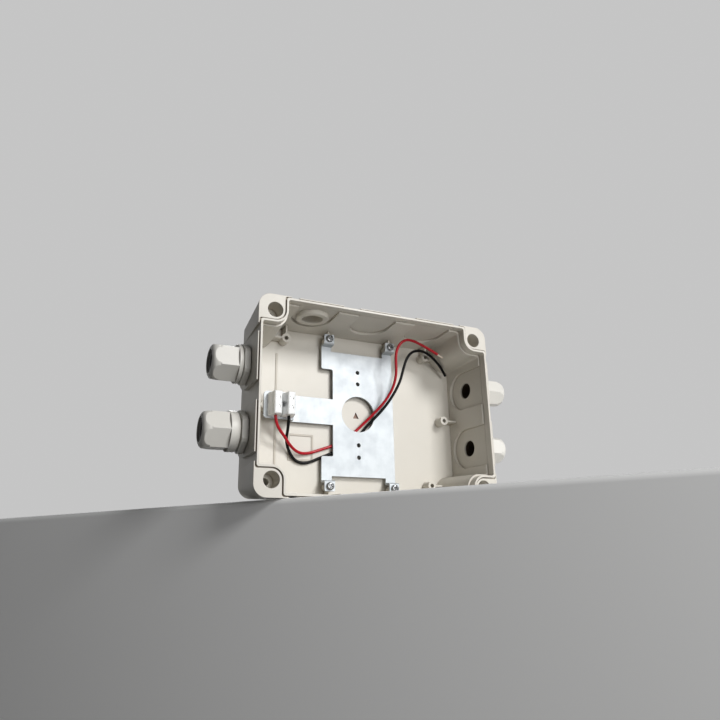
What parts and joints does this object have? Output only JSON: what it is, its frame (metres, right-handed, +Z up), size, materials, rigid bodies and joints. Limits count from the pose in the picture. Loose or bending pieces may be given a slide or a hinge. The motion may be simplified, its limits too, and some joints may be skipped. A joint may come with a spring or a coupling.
{
  "type": "trunking box",
  "caption": "Open moulded cable box with side cable glands, a blanked top entry, cover-screw wells, a raised mounting plate and a wired terminal block.",
  "frame": {"origin": "centre of the overall box, at the bottom face", "axes": "+X to the right as the open front is seen, +Y from the open front to the back, +Z up"},
  "size_m": [0.25, 0.051, 0.1427],
  "materials": {
    "box_plastic": "matt moulded",
    "gland_plastic": "satin moulded",
    "sealing_rubber": "matt",
    "zinc_sheet": "bright zinc",
    "screw_steel": "bright zinc",
    "terminal_plastic": "satin moulded",
    "brass": "machined",
    "red_sheath": "glossy",
    "black_sheath": "glossy",
    "tinned_copper": "tinned"
  },
  "bodies": {
    "box": {"enclosure_base": "box_plastic", "mounting_plate": "zinc_sheet", "blanking_plug": "box_plastic", "plug_washer": "sealing_rubber", "terminal_housing": "terminal_plastic", "terminal_brass_red": "brass", "terminal_brass_black": "brass", "clamp_screws_red": "screw_steel", "clamp_screws_black": "screw_steel", "terminal_fixing_screw": "screw_steel", "red_wire": "red_sheath", "black_wire": "black_sheath", "red_wire_core": "tinned_copper", "black_wire_core": "tinned_copper", "gland_body_left_lower": "gland_plastic", "gland_washer_left_lower": "sealing_rubber", "gland_seal_left_lower": "sealing_rubber", "gland_body_left_upper": "gland_plastic", "gland_washer_left_upper": "sealing_rubber", "gland_seal_left_upper": "sealing_rubber", "gland_body_right_upper": "gland_plastic", "gland_washer_right_upper": "sealing_rubber", "gland_seal_right_upper": "sealing_rubber", "gland_body_right_lower": "gland_plastic", "gland_washer_right_lower": "sealing_rubber", "gland_seal_right_lower": "sealing_rubber", "plate_screw_left_upper": "screw_steel", "plate_screw_left_lower": "screw_steel", "plate_screw_right_upper": "screw_steel", "plate_screw_right_lower": "screw_steel"},
    "cap_left_lower": {"gland_cap_left_lower": "gland_plastic"},
    "cap_left_upper": {"gland_cap_left_upper": "gland_plastic"},
    "cap_right_upper": {"gland_cap_right_upper": "gland_plastic"},
    "cap_right_lower": {"gland_cap_right_lower": "gland_plastic"}
  },
  "joints": [
    {"name": "cap_turn_left_lower", "type": "hinge", "parent": "box", "child": "cap_left_lower", "pos_m": [-0.112, 0.002, 0.046], "axis": [-1, 0, 0], "range_deg": [0, 360]},
    {"name": "cap_turn_left_upper", "type": "hinge", "parent": "box", "child": "cap_left_upper", "pos_m": [-0.112, 0.002, 0.094], "axis": [-1, 0, 0], "range_deg": [0, 360]},
    {"name": "cap_turn_right_upper", "type": "hinge", "parent": "box", "child": "cap_right_upper", "pos_m": [0.112, 0.002, 0.094], "axis": [1, 0, 0], "range_deg": [0, 360]},
    {"name": "cap_turn_right_lower", "type": "hinge", "parent": "box", "child": "cap_right_lower", "pos_m": [0.112, 0.002, 0.046], "axis": [1, 0, 0], "range_deg": [0, 360]}
  ]
}
